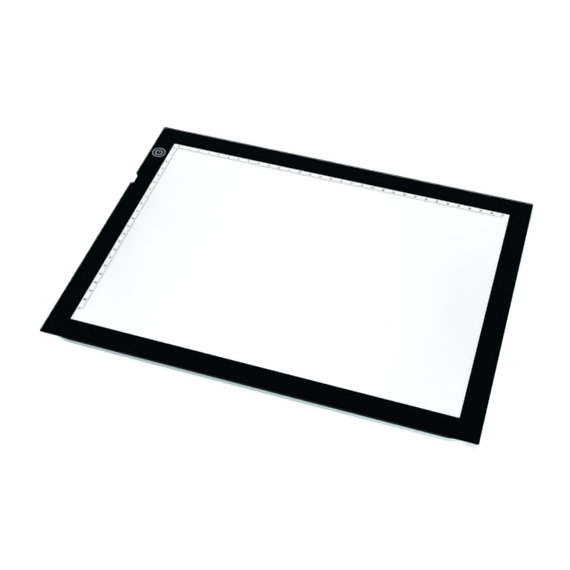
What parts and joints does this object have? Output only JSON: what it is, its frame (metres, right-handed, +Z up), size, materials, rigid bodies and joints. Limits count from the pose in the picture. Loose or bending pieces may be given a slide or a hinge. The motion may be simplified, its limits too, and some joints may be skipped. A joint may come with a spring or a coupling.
{
  "type": "light box",
  "caption": "Slim edge-lit tracing pad with a black printed border, a white window, a touch power mark and a plug notch.",
  "frame": {"origin": "centre of the pad on the plane it rests on", "axes": "+X to the pad's right, +Y to its far long edge, +Z up out of the working face"},
  "size_m": [0.358, 0.268, 0.008],
  "materials": {
    "clear_sheet": "polished clear acrylic",
    "border_ink": "black screen print seen through the sheet",
    "mark_ink": "grey screen print seen through the sheet",
    "black_tape": "matt black double-sided tape",
    "frame_plastic": "fine moulded black ABS",
    "tray_plastic": "fine-textured pale, slightly translucent plastic",
    "foot_rubber": "matt rubber",
    "guide_acrylic": "polished clear acrylic",
    "diffuser": "matt white film",
    "white_film": "satin white film",
    "white_board": "white solder mask",
    "thermal_tape": "grey adhesive tape",
    "led_case": "white package plastic",
    "phosphor": "yellow gel",
    "resistor_body": "black glaze",
    "green_board": "green solder mask",
    "socket_steel": "tinned steel",
    "socket_plastic": "black glass-filled plastic",
    "contact_brass": "gold flash",
    "spring_steel": "plated spring wire",
    "chip_epoxy": "black moulding compound",
    "tinned_leads": "tinned",
    "capacitor_body": "tan ceramic",
    "red_insulation": "red insulation",
    "black_insulation": "black insulation"
  },
  "bodies": {
    "root": {"top_sheet": "clear_sheet", "border_print": "border_ink", "power_mark": "mark_ink", "sheet_tape": "black_tape", "middle_frame": "frame_plastic", "rear_tray": "tray_plastic", "rubber_feet": "foot_rubber", "light_guide": "guide_acrylic", "diffuser_film": "diffuser", "reflector_film": "white_film", "edge_reflectors": "white_film", "led_strip_board": "white_board", "led_strip_tape": "thermal_tape", "led_packages": "led_case", "led_phosphor": "phosphor", "strip_resistors": "resistor_body", "controller_board": "green_board", "socket_shell": "socket_steel", "socket_tongue": "socket_plastic", "socket_contacts": "contact_brass", "touch_spring": "spring_steel", "touch_chip": "chip_epoxy", "dimmer_transistor": "chip_epoxy", "component_leads": "tinned_leads", "chip_capacitors": "capacitor_body", "chip_resistors": "resistor_body", "red_lead": "red_insulation", "black_lead": "black_insulation"}
  },
  "joints": []
}
